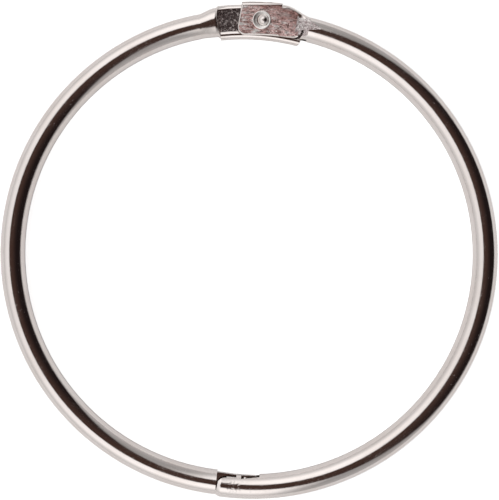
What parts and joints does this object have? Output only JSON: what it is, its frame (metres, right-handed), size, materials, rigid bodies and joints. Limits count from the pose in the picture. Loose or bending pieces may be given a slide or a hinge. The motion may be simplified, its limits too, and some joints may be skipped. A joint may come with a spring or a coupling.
{
  "type": "binder ring",
  "caption": "Hinged round ring that holds loose punched leaves: rolled steel halves joined by a rivet, closing at a folded catch.",
  "frame": {"origin": "middle of the closed ring's outline, on the surface it lies on", "axes": "+Z along the ring's axis, up from the surface; +Y from the mouth's side towards the hinge; +X towards the socket half"},
  "size_m": [0.0846, 0.0844, 0.0043],
  "materials": {
    "socket_nickel": "bright nickel plate over rolled steel sheet",
    "hook_nickel": "bright nickel plate over rolled steel sheet",
    "rivet_nickel": "bright nickel plate, struck head"
  },
  "bodies": {
    "socket_side": {"socket_half": "socket_nickel", "rivet": "rivet_nickel"},
    "hook_side": {"hook_half": "hook_nickel"}
  },
  "joints": [
    {"name": "ring_hinge", "type": "hinge", "parent": "socket_side", "child": "hook_side", "pos_m": [0.00216, 0.03905, 0.0021], "axis": [0, 0, -1], "range_deg": [0, 98]}
  ]
}
